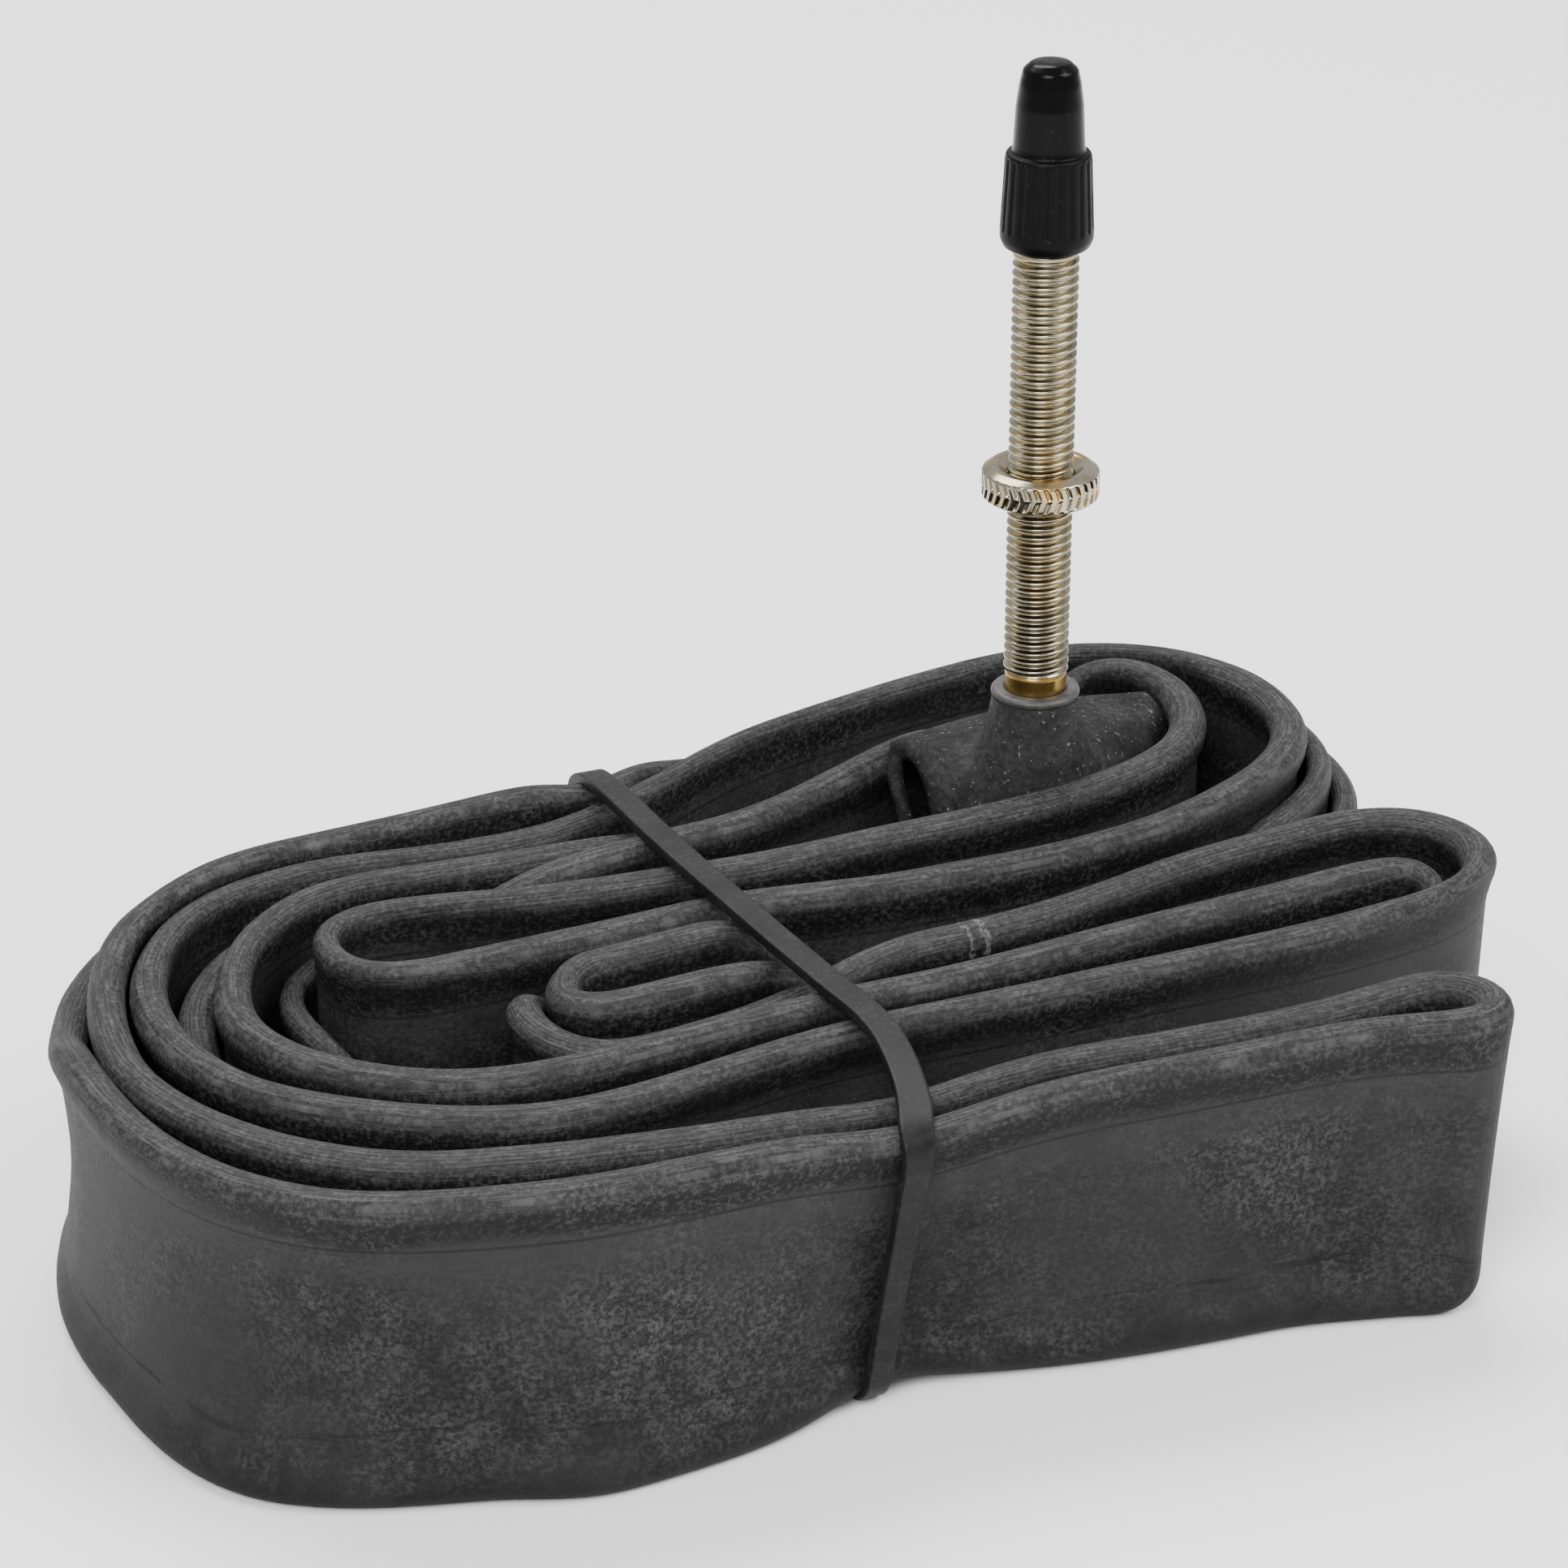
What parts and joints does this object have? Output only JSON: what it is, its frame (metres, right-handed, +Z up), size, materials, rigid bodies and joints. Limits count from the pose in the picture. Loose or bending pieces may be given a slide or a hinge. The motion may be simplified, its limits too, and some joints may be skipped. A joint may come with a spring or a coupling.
{
  "type": "inner tube",
  "caption": "Flattened bicycle inner tube folded into a standing coil under a rubber band, with a long threaded valve, lockring, valve core and dust cap.",
  "frame": {"origin": "on the resting plane, at the middle of the coil's bounding box", "axes": "+Z up along the valve, +X along the coil's straight runs, towards the valve's end; -Y is the long outer wall that faces the front"},
  "size_m": [0.1364, 0.092, 0.0954],
  "materials": {
    "tube_rubber": "matt charcoal butyl with a talc bloom",
    "valve_rubber": "smooth moulded rubber",
    "band_rubber": "smooth satin rubber",
    "nickel_brass": "nickel plated brass",
    "lockring_metal": "nickel plated brass",
    "core_brass": "turned brass",
    "seal_rubber": "soft black rubber",
    "cap_plastic": "gloss black moulded plastic"
  },
  "bodies": {
    "tube_body": {"inner_tube": "tube_rubber", "valve_patch": "valve_rubber", "rubber_band": "band_rubber", "valve_stem": "nickel_brass", "core_body": "core_brass", "core_gasket": "seal_rubber"},
    "lockring": {"lockring": "lockring_metal"},
    "dust_cap": {"dust_cap": "cap_plastic"},
    "core_needle": {"core_pin": "core_brass", "core_seal": "seal_rubber", "core_seal_cup": "core_brass"},
    "core_locknut": {"core_locknut": "core_brass"}
  },
  "joints": [
    {"name": "dust_cap_pull", "type": "slide", "parent": "tube_body", "child": "dust_cap", "axis": [0, 0, 1], "range_m": [0, 0.03]},
    {"name": "lockring_travel", "type": "slide", "parent": "tube_body", "child": "lockring", "axis": [0, 0, 1], "range_m": [-0.0165, 0.017]},
    {"name": "core_needle_press", "type": "slide", "parent": "tube_body", "child": "core_needle", "axis": [0, 0, -1], "range_m": [0, 0.0015]},
    {"name": "core_locknut_turn", "type": "hinge", "parent": "core_needle", "child": "core_locknut", "pos_m": [0.03276, 0.01683, 0.09], "axis": [0, 0, 1], "range_deg": [-720, 720]}
  ]
}
